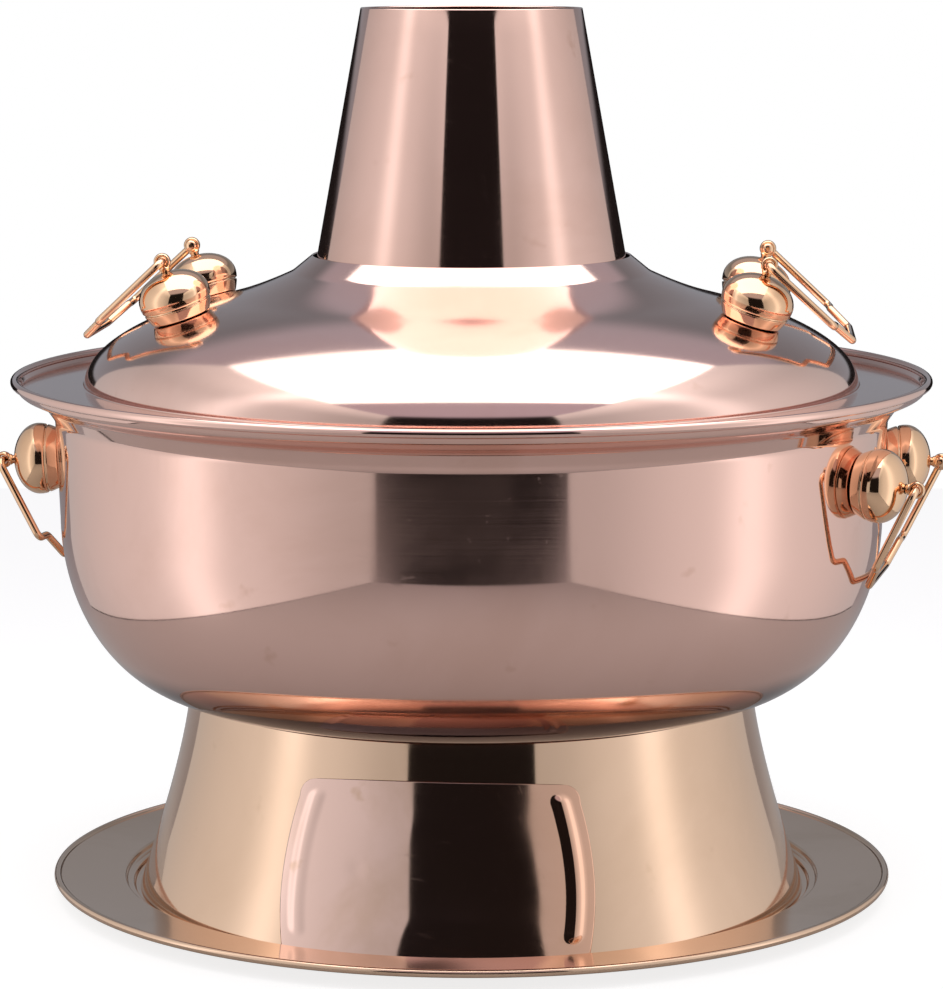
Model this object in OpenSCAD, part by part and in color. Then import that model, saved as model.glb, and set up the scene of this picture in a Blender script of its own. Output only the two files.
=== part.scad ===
// Chimney hot pot: a charcoal-heated soup pot. A ring-shaped bowl stands on a flared
// pedestal with a sliding air door, in a shallow water tray. A fire tube rises through
// the bowl and carries a lift-off chimney, which passes through the hole in the lid.
// Four wire bails swing in eyes on ball-shaped lugs.
// Millimetres, +Z up. The origin is the centre of the tray's underside. The pot's
// bails lie on +X and -X, and the air door faces -Y.

/* [Water tray] */
// Thickness of the tray's sheet
tray_wall = 1; // [0.8:0.1:2]
// Outer diameter over the tray's rolled rim
tray_d = 332; // [320:1:400]
// Diameter of the tray's rolled rim bead
tray_bead = 3; // [2:0.1:4]
// Height of the rolled rim's middle above the table
tray_rim_h = 7.4; // [6:0.1:14]
// Height of each of the two steps round the well
tray_step_h = 2.3; // [1:0.1:3]
// Width of each step's tread
tray_tread = 2.6; // [1.5:0.1:6]

/* [Pedestal] */
// Outer diameter at the foot
foot_d = 264; // [240:1:276]
// Outer diameter at the neck, below the bowl
neck_d = 223; // [205:1:235]
// Height from the foot to the bowl's floor
pedestal_h = 78.7; // [74:0.1:110]
// How hollow the flare is: 1 is a straight cone
flare = 1.35; // [1:0.05:1.8]
// Thickness of the pedestal's sheet
pedestal_wall = 1; // [0.8:0.1:2]
// Width of the turned-in ledge that carries the bowl
ledge_w = 13; // [8:0.5:15]

/* [Air door] */
// Turn of the door's middle from -Y towards +X, in degrees
door_turn = 7; // [-20:1:20]
// Height of the door
door_h = 64; // [60:0.5:70]
// Height of the door's lower edge above the pedestal's foot
door_lift = 0.6; // [0.3:0.1:3]
// Half the door's angle at its lower and upper edges, in degrees
door_half = 25.5; // [23:0.5:30]
// How far the sides bow out at mid height, in degrees
door_bow = 2.6; // [0:0.1:4]
// Radius of the door's upper corners
door_corner = 7; // [2:0.5:12]
// How much higher the upper edge is at its middle than at its corners
door_arch = 2; // [0:0.5:4]
// Thickness of the door's sheet
door_wall = 1; // [0.8:0.1:1.5]
// Turn of the door either way, in degrees
door_travel = 6; // [3:0.5:8]
// Overlap of the door over each side of the vent, in degrees
door_lap = 1; // [0.5:0.1:3]
// Height of the vent's lower edge above the foot
vent_lift = 13; // [11:0.5:18]
// Height of the vent
vent_h = 38; // [32:0.5:42]
// Width of each pressed rib near the door's sides
rib_w = 4.6; // [3:0.1:7]
// Distance from the door's side to its rib
rib_inset = 4.4; // [3:0.1:8]
// How far the ribs stand proud
rib_proud = 1.4; // [0.6:0.1:2]
// Height of the ribs
rib_h = 52; // [30:1:56]
// Width of each spring clip behind the door
clip_w = 6.6; // [4:0.1:9]
// Thickness of the spring clips
clip_wall = 0.8; // [0.6:0.1:1]

/* [Bowl] */
// Outer diameter over the rolled rim
rim_d = 360; // [350:1:400]
// Diameter of the rolled rim bead
rim_bead = 3.5; // [2.5:0.1:5]
// Outer diameter of the wall at the top of the belly
bowl_d = 322.8; // [300:0.2:328]
// Diameter of the crease where the wall turns outwards
crease_d = 325.9; // [324:0.1:334]
// Height of the rounded belly
belly_h = 70; // [60:1:90]
// Width of the rounded belly, from the flat floor to the wall
belly_w = 52.4; // [44:0.2:56]
// Height of the wall above the belly
wall_h = 38.5; // [36:0.5:70]
// Rise of the short flare between the wall and the flange
flare_rise = 6.3; // [3:0.1:8]
// Width of that flare
flare_run = 4.4; // [2:0.1:6]
// Rise of the dished flange
flange_rise = 4.2; // [2:0.1:6]
// Height of the upright lip between the flange and the bead
lip_h = 3.9; // [3.5:0.1:8]
// Thickness of the bowl's sheet
bowl_wall = 1.2; // [0.8:0.1:2]
// Diameter of the hole in the floor, under the fire tube
floor_hole_d = 156; // [150:1:158]

/* [Fire tube and chimney] */
// Slope of the cone, in degrees from upright
taper = 10.23; // [8:0.1:11]
// Thickness of the fire tube
tube_wall = 1.2; // [0.8:0.1:2]
// Width of the welded foot flange
tube_flange = 8; // [4:0.5:12]
// Height of the spigot that the chimney slips over
spigot_h = 23; // [10:1:40]
// Outer diameter of the chimney's top
chimney_top_d = 86; // [80:1:90]
// Height of the chimney
chimney_h = 103.7; // [80:0.1:130]
// Thickness of the chimney
chimney_wall = 1; // [0.8:0.1:2]
// Height of the lid's hole above the chimney's seat
seat_drop = 8; // [4:0.5:12]

/* [Grate] */
// Width of the flat ring round the grate
grate_ring = 14; // [12:0.5:20]
// Thickness of the grate
grate_t = 4; // [3:0.5:6]
// Width of a fire bar
fire_bar_w = 6; // [4:0.5:8]
// Clear gap between fire bars
fire_gap = 12; // [9:0.5:16]
// Diameter of the bolts
bolt_d = 5; // [4:0.5:5]
// Number of bolts
bolt_count = 4; // [3:1:6]

/* [Lid] */
// Thickness of the lid's sheet
lid_wall = 1; // [0.8:0.1:1.5]
// Distance from the brim's edge to the flange's outer corner
brim_inset = 1.2; // [1:0.1:7]
// Diameter of the dome at its foot
dome_d = 303.2; // [296:0.2:308]
// Radius of the middle that the dome's curve is struck from
dome_core = 0; // [-20:1:30]
// Height of the dome's curve, as if it had no hole
dome_h = 43.8; // [40:0.5:70]
// Diameter where the neck leaves the dome
neck_foot_d = 156; // [148:1:170]
// Height of the lid from the brim to the neck's edge
lid_h = 49.9; // [48:0.1:60]
// Free space between the neck's edge and the chimney's widest place
neck_gap = 0.8; // [0.5:0.1:4]
// Turn of the lid's bails from the pot's, in degrees
lid_turn = 9.5; // [-15:0.5:15]

/* [Lugs and bails] */
// Diameter of a lug
lug_d = 28; // [24:0.5:30]
// Height of a lug
lug_h = 18.3; // [16:0.1:19]
// Diameter of a lug's foot
lug_foot_d = 23; // [18:0.5:24]
// Height of the groove round the lug
groove_h = 4.8; // [3:0.1:6]
// Width of the groove
groove_w = 0.6; // [0.3:0.1:1.2]
// Thickness of the lug's shells
lug_wall = 0.9; // [0.6:0.1:1.2]
// Height of the eye's middle above the lug's foot
eye_h = 22.5; // [22:0.1:26]
// Outer diameter of the eye
eye_d = 6.6; // [6:0.1:7]
// Thickness of the eye along the pivot
eye_t = 3; // [2:0.1:4]
// Diameter of the post that carries the eye
post_d = 3.4; // [2.5:0.1:4.5]
// Distance between the two eyes of a handle
eye_pitch = 80; // [70:1:90]
// Height of the pot's lugs above the top of the belly
pot_lug_h = 20.5; // [18:0.5:22]
// Distance of the lid's lugs from its middle
lid_lug_r = 115.4; // [108:0.2:120]
// Diameter of the bail wire
wire_d = 3; // [2.5:0.1:3.4]
// Diameter of the headed ends of the wire
head_d = 4.6; // [4.5:0.1:6]
// Length of a headed end
head_l = 1.5; // [1:0.1:2.5]
// Distance from the pivot to the shoulders
bar_l = 34; // [31:0.5:38]
// Distance from the pivot to the crossbar
bail_reach = 44; // [42:0.5:46]
// Length of the straight crossbar, between its corners
crossbar_l = 50; // [40:1:56]
// Width from shoulder to shoulder
shoulder_w = 84; // [76:1:88]
// Length of each shoulder's inward run
shoulder_run = 9; // [7:0.5:12]
// Radius of the bends, on the wire's middle line
bend_r = 3; // [2.5:0.1:3.5]
// Slope of the lid's bails at rest, in degrees below level
lid_bail_pitch = 43; // [30:1:46]

/* [Fits] */
// Gap under a piece that only rests, and can be lifted off
rest_gap = 0.3; // [0.1:0.05:0.5]
// Running gap between the door or its clips and the pedestal
slide_gap = 0.4; // [0.2:0.05:0.6]
// Gap between the chimney and its spigot
spigot_gap = 0.3; // [0.2:0.05:0.8]
// Gap between the bail wire and its eye, all round
eye_gap = 0.3; // [0.1:0.05:0.4]
// Gap of fixed pieces that are welded, riveted or bolted together
fixed_gap = 0.05; // [0.02:0.01:0.1]
// Free space between the door's foot and the tray's first step
well_gap = 0.8; // [0.5:0.1:4]

/* [Hidden] */
$fn = 96;
arc_steps = 16;
// How far a cut runs past the faces that it goes through
past = 1;

// Heights
tray_floor_z = tray_wall;
foot_z = tray_floor_z + rest_gap;
floor_z = foot_z + pedestal_h;
belly_z = floor_z + belly_h;
crease_z = belly_z + wall_h;
flange_z = crease_z + flare_rise;
corner_z = flange_z + flange_rise;
rim_z = corner_z + lip_h;

// Radii
bowl_r = bowl_d / 2;
crease_r = crease_d / 2;
flange_r = crease_r + flare_run;
rim_r = (rim_d - rim_bead) / 2;
lip_lean = 1.6;
corner_r = rim_r - lip_lean;
belly_core = bowl_r - belly_w;

// The lid rests with its brim's lower edge on the dished flange.
flange_slope = flange_rise / (corner_r - flange_r);
brim_r = corner_r - brim_inset;
flange_top_at_brim = flange_z + flange_slope * (brim_r - flange_r) + bowl_wall / cos(atan(flange_slope));
brim_z = flange_top_at_brim + rest_gap + lid_wall;
dome_w = dome_d / 2 - dome_core;
lid_top_z = brim_z + lid_h;

// The fire tube and the chimney are one cone, parted at the seat.
seat_z = lid_top_z - seat_drop;
chimney_z = seat_z + rest_gap;
chimney_top_z = chimney_z + chimney_h;
function cone_r(z) = chimney_top_d / 2 + (chimney_top_z - z) * tan(taper);
neck_r = cone_r(chimney_z) + neck_gap;

// The pedestal's outer radius at a height, and the radii of what lies along it
function ped_r(z) = neck_d / 2
    + (foot_d - neck_d) / 2 * pow(max(0, 1 - (z - foot_z) / pedestal_h), flare);
function door_r(z) = ped_r(z) + slide_gap + door_wall;
function clip_r(z) = ped_r(z) - pedestal_wall - 2 * slide_gap;
door_z = foot_z + door_lift;
well_r = door_r(door_z) + well_gap;

// The bowl's outer radius at a height of its wall or belly
function bowl_wall_r(z) = z > belly_z
    ? bowl_r + (crease_r - bowl_r) * (z - belly_z) / wall_h
    : belly_core + belly_w * sqrt(1 - pow((belly_z - z) / belly_h, 2));

// The dome's height at a radius, and the slope of its normal above level
function dome_z(r) = brim_z + dome_h * sqrt(1 - pow((r - dome_core) / dome_w, 2));
function dome_tilt(r) = let (s = (r - dome_core) / dome_w)
    90 - atan(dome_h / dome_w * s / sqrt(1 - s * s));

// Lugs and pivots: seat radius, seat height and tilt of the lug's axis above level
pot_seat = [bowl_wall_r(belly_z + pot_lug_h) + fixed_gap, belly_z + pot_lug_h,
            -atan((crease_r - bowl_r) / wall_h)];
lid_seat = [lid_lug_r, dome_z(lid_lug_r) + fixed_gap, dome_tilt(lid_lug_r)];
function eye_radius(seat) = seat[0] + eye_h * cos(seat[2]);
function pivot_x(seat) = sqrt(pow(eye_radius(seat), 2) - pow(eye_pitch / 2, 2));
function pivot_z(seat) = seat[1] + eye_h * sin(seat[2]);
function lug_angle(seat) = asin(eye_pitch / 2 / eye_radius(seat));

// The pot's bails hang with the crossbar against the belly: the lean inwards from
// plumb is found by stepping towards the place where it touches.
function bail_lean(a, n) = n == 0 ? a
    : bail_lean(asin((pivot_x(pot_seat) - wire_d / 2 - rest_gap
        - bowl_wall_r(pivot_z(pot_seat) - bail_reach * cos(a))) / bail_reach), n - 1);
pot_bail_pitch = 90 + bail_lean(20, 12);

// Handles: name, turn about Z, seat and the bail's pitch at rest
HANDLES = [
    ["pot_right", 0, pot_seat, pot_bail_pitch],
    ["pot_left", 180, pot_seat, pot_bail_pitch],
    ["lid_right", lid_turn, lid_seat, lid_bail_pitch],
    ["lid_left", lid_turn + 180, lid_seat, lid_bail_pitch]];
// Lugs of a handle: name, and its side of the handle on the right and on the left
LUGS = [["front", -1], ["back", 1]];
LUG_PIECES = ["lug_base", "lug_cap", "eye_stud"];
function lug_side(handle, lug) = lug[1] * (handle[1] > 90 ? -1 : 1);
function lug_node(handle, lug, piece) = str(handle[0], "_", lug[0], "_", piece);

// Colours
rose = [0.80, 0.60, 0.52];
champagne = [0.83, 0.71, 0.56];
orange_gold = [0.86, 0.62, 0.42];
iron = [0.22, 0.21, 0.21];
steel = [0.66, 0.66, 0.67];

// Sheet metal: an outline walked with the metal on its left, and its thickness
function unit(v) = v / norm(v);
function left(v) = [-v[1], v[0]];
function sheet_side(path, t) = let (n = len(path)) [for (i = [0:n - 1])
    let (a = left(unit(path[min(i + 1, n - 1)] - path[min(i, n - 2)])),
         b = left(unit(path[max(i, 1)] - path[max(i - 1, 0)])))
    path[i] + t * (a + b) / (1 + a * b)];
function reversed(path) = [for (i = [len(path) - 1:-1:0]) path[i]];
module sheet(path, t) polygon(concat(path, reversed(sheet_side(path, t))));

// A shell turned from a sheet outline, one that is cut flat at a height, and one with a
// rolled bead round a point of it
module turned(path, t) rotate_extrude() sheet(path, t);
module turned_above(path, t, z) rotate_extrude() intersection() {
    sheet(path, t);
    translate([0, z]) square([rim_d, rim_z]);
}
module beaded(path, t, bead, at) rotate_extrude() {
    sheet(path, t);
    translate((path[at] + sheet_side(path, t)[at]) / 2) circle(d = bead);
}

// Quarter of an ellipse about a middle, from its lowest or highest point to its side
function quarter(middle, w, h, from, to) = [for (i = [0:arc_steps])
    let (a = from + (to - from) * i / arc_steps) middle + [w * cos(a), h * sin(a)]];

// The tray's upper face, walked from its rim down the two steps to the well's middle.
// Each step's riser leans outwards a little.
riser_lean = 0.6;
module water_tray() {
    low_tread = well_r + riser_lean;
    high_tread = low_tread + tray_tread + riser_lean;
    low_z = tray_floor_z + tray_step_h;
    high_z = low_z + tray_step_h;
    color(champagne) beaded([[(tray_d - tray_bead) / 2, tray_rim_h],
        [high_tread + tray_tread, high_z], [high_tread, high_z],
        [low_tread + tray_tread, low_z], [low_tread, low_z],
        [well_r, tray_floor_z], [0, tray_floor_z]], tray_wall, tray_bead, 0);
}

// Outline of the pedestal from a height to another, some way outside its surface
function ped_path(from, to, out) = [for (i = [0:arc_steps])
    let (z = from + (to - from) * i / arc_steps) [ped_r(z) + out, z]];

// A ring sector about Z, that starts at an angle
module sector(from, angle) rotate([0, 0, from]) rotate_extrude(angle = angle) children();
door_middle = door_turn - 90;
vent_half = door_half - door_lap;

module pedestal() color(champagne) difference() {
    turned_above(concat(ped_path(foot_z - pedestal_wall, floor_z - pedestal_wall, 0),
        [[neck_d / 2 - pedestal_wall, floor_z], [neck_d / 2 - ledge_w, floor_z]]),
        pedestal_wall, foot_z);
    sector(door_middle - vent_half, 2 * vent_half)
        translate([neck_d / 2 - ledge_w, foot_z + vent_lift])
            square([(foot_d - neck_d) / 2 + ledge_w + past, vent_h]);
}

// Half the door's flat width at a height, seen square on
function door_half_w(z) = let (s = 2 * (z - door_z) / door_h - 1)
    door_r(z) * sin(door_half + door_bow * (1 - s * s));
// The door's right side from its foot to its upper corner, which is a quarter round
door_side_z = door_z + door_h - door_arch - door_corner;
function door_outline() = concat(
    [for (i = [0:arc_steps]) let (z = door_z + (door_side_z - door_z) * i / arc_steps)
        [door_half_w(z), z]],
    [for (a = [15:15:90]) [door_half_w(door_side_z) - door_corner * (1 - cos(a)),
                           door_side_z + door_corner * sin(a)]],
    [for (s = [0.75, 0.5, 0.25, 0]) [s * (door_half_w(door_side_z) - door_corner),
                                   door_z + door_h - door_arch * s * s]]);
function mirrored(path) = [for (p = reversed(path)) if (p[0] > 0.01) [-p[0], p[1]]];

// A pressed rib that keeps its distance from the door's right side
rib_z = door_z + (door_h - rib_h) / 2;
function rib_middle(z) = door_half_w(z) - rib_inset - rib_w / 2;
function rib_outline() = let (low = rib_z + rib_w / 2, high = rib_z + rib_h - rib_w / 2) concat(
    [for (a = [180:30:360]) [rib_middle(low) + rib_w / 2 * cos(a), low + rib_w / 2 * sin(a)]],
    [for (s = [0.2:0.2:0.8]) let (z = low + (high - low) * s) [rib_middle(z) + rib_w / 2, z]],
    [for (a = [0:30:180]) [rib_middle(high) + rib_w / 2 * cos(a), high + rib_w / 2 * sin(a)]],
    [for (s = [0.8:-0.2:0.2]) let (z = low + (high - low) * s) [rib_middle(z) - rib_w / 2, z]]);

// A turned shell cut to an outline that faces the door's way
module facing_door(outline) intersection() {
    children();
    rotate([0, 0, door_turn]) rotate([90, 0, 0]) linear_extrude(foot_d) polygon(outline);
}

module air_door() color(champagne) {
    facing_door(concat(door_outline(), mirrored(door_outline())))
        turned(ped_path(door_z - past, door_z + door_h + past, slide_gap + door_wall), door_wall);
    for (side = [1, -1])
        facing_door([for (p = rib_outline()) [side * p[0], p[1]]])
            turned(ped_path(rib_z - past, rib_z + rib_h + past,
                slide_gap + door_wall + rib_proud), door_wall / 2 + rib_proud);
}

// A spring clip: its pad is welded behind the door, and its ends reach behind the vent's
// upper and lower edges.
clip_reach = 6;
clip_pad = 9;
clip_jog = 2.5;
clip_run = 1;
module door_clip(side) {
    mid_r = ped_r(foot_z + vent_lift + vent_h / 2);
    half = asin(clip_w / 2 / mid_r);
    free = asin(slide_gap / mid_r);
    middle = door_middle + side * (vent_half - door_travel - half - free);
    vent_low = foot_z + vent_lift;
    vent_high = vent_low + vent_h;
    pad_high = vent_high - clip_jog - clip_run;
    pad_low = pad_high - clip_pad;
    function pad_r(z) = door_r(z) - door_wall - 2 * fixed_gap;
    color(steel) sector(middle - half, 2 * half) sheet([
        [clip_r(vent_low - clip_reach), vent_low - clip_reach],
        [clip_r(vent_low), vent_low],
        [clip_r(pad_low - clip_jog), pad_low - clip_jog],
        [pad_r(pad_low), pad_low],
        [pad_r(pad_high), pad_high],
        [clip_r(pad_high + clip_jog), pad_high + clip_jog],
        [clip_r(vent_high + clip_reach), vent_high + clip_reach]], clip_wall);
}

// The bolt circle lies between the floor's hole and the tube, and a little nearer to
// the hole, so that the nuts clear the tube.
tube_foot_z = floor_z + bowl_wall;
tube_inner_r = cone_r(tube_foot_z + tube_wall) - tube_wall / cos(taper);
bolt_clear = 0.1;
nut_shift = 1;
bolt_circle_r = (floor_hole_d / 2 + tube_inner_r) / 2 - nut_shift;
module on_bolts() for (i = [0:bolt_count - 1])
    rotate([0, 0, 45 + 360 * i / bolt_count]) translate([bolt_circle_r, 0]) children();

module bowl() {
    path = concat([[floor_hole_d / 2, floor_z]],
        quarter([belly_core, belly_z], belly_w, belly_h, -90, 0),
        [[crease_r, crease_z], [flange_r, flange_z], [corner_r, corner_z],
         [rim_r + bowl_wall / 2, rim_z]]);
    color(rose) difference() {
        beaded(path, bowl_wall, rim_bead, len(path) - 1);
        on_bolts() translate([0, 0, floor_z - past])
            cylinder(d = bolt_d + 2 * bolt_clear, h = bowl_wall + 2 * past);
    }
}

module fire_tube() {
    foot = tube_foot_z + tube_wall;
    spigot_in = chimney_wall / cos(taper) + spigot_gap;
    color(rose) turned([[cone_r(foot) + tube_flange, foot], [cone_r(foot), foot],
        [cone_r(seat_z), seat_z], [cone_r(seat_z) - spigot_in, seat_z],
        [cone_r(seat_z + spigot_h) - spigot_in, seat_z + spigot_h]], tube_wall);
}

module chimney() color(rose)
    turned([[cone_r(chimney_z), chimney_z], [cone_r(chimney_top_z), chimney_top_z]], chimney_wall);

// The grate hangs under the bowl's floor. Its bars run along Y, and each is rooted a
// little way in the ring.
grate_inset = 1;
grate_r = tube_inner_r - grate_inset;
bar_root = 1;
module fire_grate() {
    inner_r = grate_r - grate_ring;
    pitch = fire_bar_w + fire_gap;
    bars = floor((inner_r - fire_bar_w / 2) / pitch);
    color(iron) translate([0, 0, floor_z - grate_t]) difference() {
        union() {
            difference() {
                cylinder(r = grate_r, h = grate_t);
                translate([0, 0, -past]) cylinder(r = inner_r, h = grate_t + 2 * past);
            }
            intersection() {
                cylinder(r = inner_r + bar_root, h = grate_t);
                for (i = [-bars:bars])
                    translate([i * pitch - fire_bar_w / 2, -inner_r - bar_root, 0])
                        cube([fire_bar_w, 2 * (inner_r + bar_root), grate_t]);
            }
        }
        on_bolts() translate([0, 0, -past])
            cylinder(d = bolt_d + 2 * bolt_clear, h = grate_t + 2 * past);
    }
}

// Bolts with hexagon heads below the grate, and nuts above the bowl's lip: the heads'
// width over the corners and their height go with the bolt's diameter.
hex_across = 1.8 * bolt_d;
hex_h = 0.7 * bolt_d;
bolt_end = 1;
module grate_bolts() color(steel) on_bolts() translate([0, 0, floor_z - grate_t - hex_h]) {
    cylinder(d = hex_across, h = hex_h, $fn = 6);
    cylinder(d = bolt_d, h = 2 * hex_h + grate_t + bowl_wall + bolt_end);
}
module grate_nuts() color(steel) on_bolts() translate([0, 0, tube_foot_z]) difference() {
    cylinder(d = hex_across, h = hex_h, $fn = 6);
    translate([0, 0, -past]) cylinder(d = bolt_d + 2 * fixed_gap, h = hex_h + 2 * past);
}

// The lid is walked from its brim up the dome and the flared neck to the hole's edge.
// The neck is a curve that leaves the dome along its slope and ends near upright.
neck_lean = 1.6;
neck_steps = 8;
module lid() {
    neck_foot = acos((neck_foot_d / 2 - dome_core) / dome_w);
    start = [neck_foot_d / 2, brim_z + dome_h * sin(neck_foot)];
    along = unit([-dome_w * sin(neck_foot), dome_h * cos(neck_foot)]);
    bend = start + along * (start[0] - neck_r - neck_lean) / -along[0];
    end = [neck_r, lid_top_z];
    function neck(s) = (1 - s) * (1 - s) * start + 2 * s * (1 - s) * bend + s * s * end;
    color(rose) turned(concat([[brim_r, brim_z]],
        quarter([dome_core, brim_z], dome_w, dome_h, 0, neck_foot),
        [for (i = [1:neck_steps]) neck(i / neck_steps)]), lid_wall);
}

// A handle's own frame: its middle is on +X, and its pivot runs along Y.
module on_handle(handle) rotate([0, 0, handle[1]]) children();
module on_lug(handle, side) let (seat = handle[2])
    on_handle(handle) rotate([0, 0, side * lug_angle(seat)]) translate([seat[0], 0, seat[1]])
        rotate([0, 90 - seat[2], 0]) children();

// The lug's widest place, the spigot that joins its two shells, and its half outlines
lug_r = lug_d / 2;
lug_waist = 8.3;
lug_floor = 1.2;
spigot_r = lug_r - lug_wall - fixed_gap;
spigot_top = 2.5;
cap_z = groove_h + groove_w / 2;
base_z = groove_h - groove_w / 2;
function lug_side_r(h) = lug_foot_d / 2
    + (lug_d - lug_foot_d) / 2 * sin(90 * min(1, h / lug_waist));
function dome_path(r, top) = [for (a = [0:15:90]) [r * cos(a), lug_waist + (top - lug_waist) * sin(a)]];

module lug_base(handle, side) color(orange_gold) on_lug(handle, side) rotate_extrude()
    difference() {
        polygon(concat([[0, 0]], [for (i = [0:4]) [lug_side_r(base_z * i / 4), base_z * i / 4]],
            [[spigot_r, base_z], [spigot_r, cap_z + spigot_top], [0, cap_z + spigot_top]]));
        translate([0, lug_floor]) square([lug_foot_d / 2 - lug_wall, cap_z + spigot_top]);
    }

module lug_cap(handle, side) color(orange_gold) on_lug(handle, side) rotate_extrude()
    difference() {
        polygon(concat([[0, cap_z], [lug_side_r(cap_z), cap_z]], dome_path(lug_r, lug_h)));
        polygon(concat([[0, 0], [lug_r - lug_wall, 0]], dome_path(lug_r - lug_wall, lug_h - lug_wall)));
        square([post_d / 2 + fixed_gap, lug_h + past]);
    }

// The eye's bore lies on the handle's pivot, and its post is riveted in the lug's base.
rivet_d = 7.5;
rivet_h = 1.5;
module eye_stud(handle, side) color(orange_gold) difference() {
    union() {
        on_lug(handle, side) {
            translate([0, 0, lug_floor]) cylinder(d = rivet_d, h = rivet_h);
            translate([0, 0, lug_floor]) cylinder(d = post_d, h = eye_h - lug_floor - eye_d / 4);
        }
        on_eye(handle, side) cylinder(d = eye_d, h = eye_t, center = true);
    }
    on_eye(handle, side) cylinder(d = wire_d + 2 * eye_gap, h = 3 * eye_d, center = true);
}
module on_eye(handle, side) on_handle(handle)
    translate([pivot_x(handle[2]), side * eye_pitch / 2, pivot_z(handle[2])]) rotate([90, 0, 0])
        children();

// A round wire along points in the XY plane: rings of flats, mitred at each point
wire_sides = 12;
bend_steps = 2;
function arm(path, i, step) = unit(path[i + step] - path[i]);
function half_turn(path, i) = acos(arm(path, i, -1) * arm(path, i, 1)) / 2;
function bend_points(path, i) = i == 0 || i == len(path) - 1 ? [path[i]]
    : let (a = arm(path, i, -1), b = arm(path, i, 1), half = half_turn(path, i),
           middle = path[i] + unit(a + b) * bend_r / sin(half),
           from = path[i] + a * bend_r / tan(half) - middle,
           to = path[i] + b * bend_r / tan(half) - middle, sweep = 180 - 2 * half)
        [for (k = [0:bend_steps]) let (s = k / bend_steps)
            middle + (from * sin(sweep * (1 - s)) + to * sin(sweep * s)) / sin(sweep)];
function rounded(path) = [for (i = [0:len(path) - 1]) each bend_points(path, i)];
module bent_wire(corners, d) {
    path = rounded(corners);
    sides = sheet_side(path, 1);
    rings = [for (i = [0:len(path) - 1], k = [0:wire_sides - 1])
        let (a = 360 * k / wire_sides, out = path[i] + (sides[i] - path[i]) * d / 2 * cos(a))
            [out[0], out[1], d / 2 * sin(a)]];
    last = (len(path) - 1) * wire_sides;
    polyhedron(rings, concat(
        [[for (k = [0:wire_sides - 1]) k], [for (k = [wire_sides - 1:-1:0]) last + k]],
        [for (i = [0:len(path) - 2], k = [0:wire_sides - 1])
            let (near = i * wire_sides, next = (k + 1) % wire_sides)
                [near + next, near + k, near + wire_sides + k, near + wire_sides + next]]));
}

// A bail in its own plane: the pivot on X, the crossbar at +Y. The round pins turn in
// the eyes, and the bent wire starts inside them.
bar_clear = 1;
bent_wire_d = 0.98 * wire_d;
pin_out_x = eye_pitch / 2 + eye_t / 2 + bar_clear;
pin_in_x = eye_pitch / 2 - eye_t / 2 - bar_clear;
bar_x = pin_out_x + bend_r;
module bail_shape() {
    half = [[eye_pitch / 2, 0], [bar_x, 0], [shoulder_w / 2, bar_l],
            [shoulder_w / 2 - shoulder_run, bar_l], [crossbar_l / 2, bail_reach]];
    bent_wire(concat(half, mirrored(half)), bent_wire_d);
    for (side = [1, 0]) mirror([side, 0, 0]) translate([pin_in_x, 0, 0]) rotate([0, 90, 0]) {
        cylinder(d = wire_d, h = pin_out_x - pin_in_x);
        translate([0, 0, -head_l]) cylinder(d = head_d, h = head_l);
    }
}
module bail(handle) color(orange_gold) on_handle(handle)
    translate([pivot_x(handle[2]), 0, pivot_z(handle[2])]) rotate([0, 180 + handle[3], 0])
        rotate([0, 0, 90]) bail_shape();

water_tray();
pedestal();
air_door();
door_clip(-1);  // door_left_clip
door_clip(1);  // door_right_clip
bowl();
fire_tube();
fire_grate();
grate_bolts();
grate_nuts();
chimney();
lid();
for (h = HANDLES, l = LUGS) {
    lug_base(h, lug_side(h, l));
    lug_cap(h, lug_side(h, l));
    eye_stud(h, lug_side(h, l));
}
for (h = HANDLES) bail(h);
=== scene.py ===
# %% [markdown]
# # A chimney hot pot, dressed step by step
# The pot was built in CAD first: a pedestal, a ring-shaped bowl, a fire tube, a loose chimney
# and lid, four wire bails and a water tray. This lesson loads that model as a fixed frame, and
# makes the smooth, polished pieces that a camera sees. Blender works in metres; the sizes of
# this pot are easier to read in millimetres, so helpers here take millimetres and scale them.

# %% Load the frame
import math
import bmesh
import bpy
import numpy as np
from mathutils import Matrix, Vector


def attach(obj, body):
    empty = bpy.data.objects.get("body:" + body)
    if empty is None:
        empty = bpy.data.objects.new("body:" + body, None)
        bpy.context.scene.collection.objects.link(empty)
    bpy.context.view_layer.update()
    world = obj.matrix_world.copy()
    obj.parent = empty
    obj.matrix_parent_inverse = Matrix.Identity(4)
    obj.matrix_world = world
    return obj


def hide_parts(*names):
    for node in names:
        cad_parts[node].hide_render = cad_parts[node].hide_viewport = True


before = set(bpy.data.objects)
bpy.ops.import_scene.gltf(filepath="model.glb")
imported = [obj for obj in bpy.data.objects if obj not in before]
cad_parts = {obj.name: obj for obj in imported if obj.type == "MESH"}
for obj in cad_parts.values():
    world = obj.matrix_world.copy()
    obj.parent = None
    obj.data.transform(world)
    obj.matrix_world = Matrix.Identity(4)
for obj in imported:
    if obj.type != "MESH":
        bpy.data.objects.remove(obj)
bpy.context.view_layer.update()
MM = 0.001

# %% [markdown]
# ## The camera
# The photograph was taken from a little above the rim, with a long lens. Fitting the ellipses
# of the rims gave the distance, the height, the tilt and the focal length. The pot's bails lie
# on X, and the camera stands 13.5 degrees round from the front.

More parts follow.
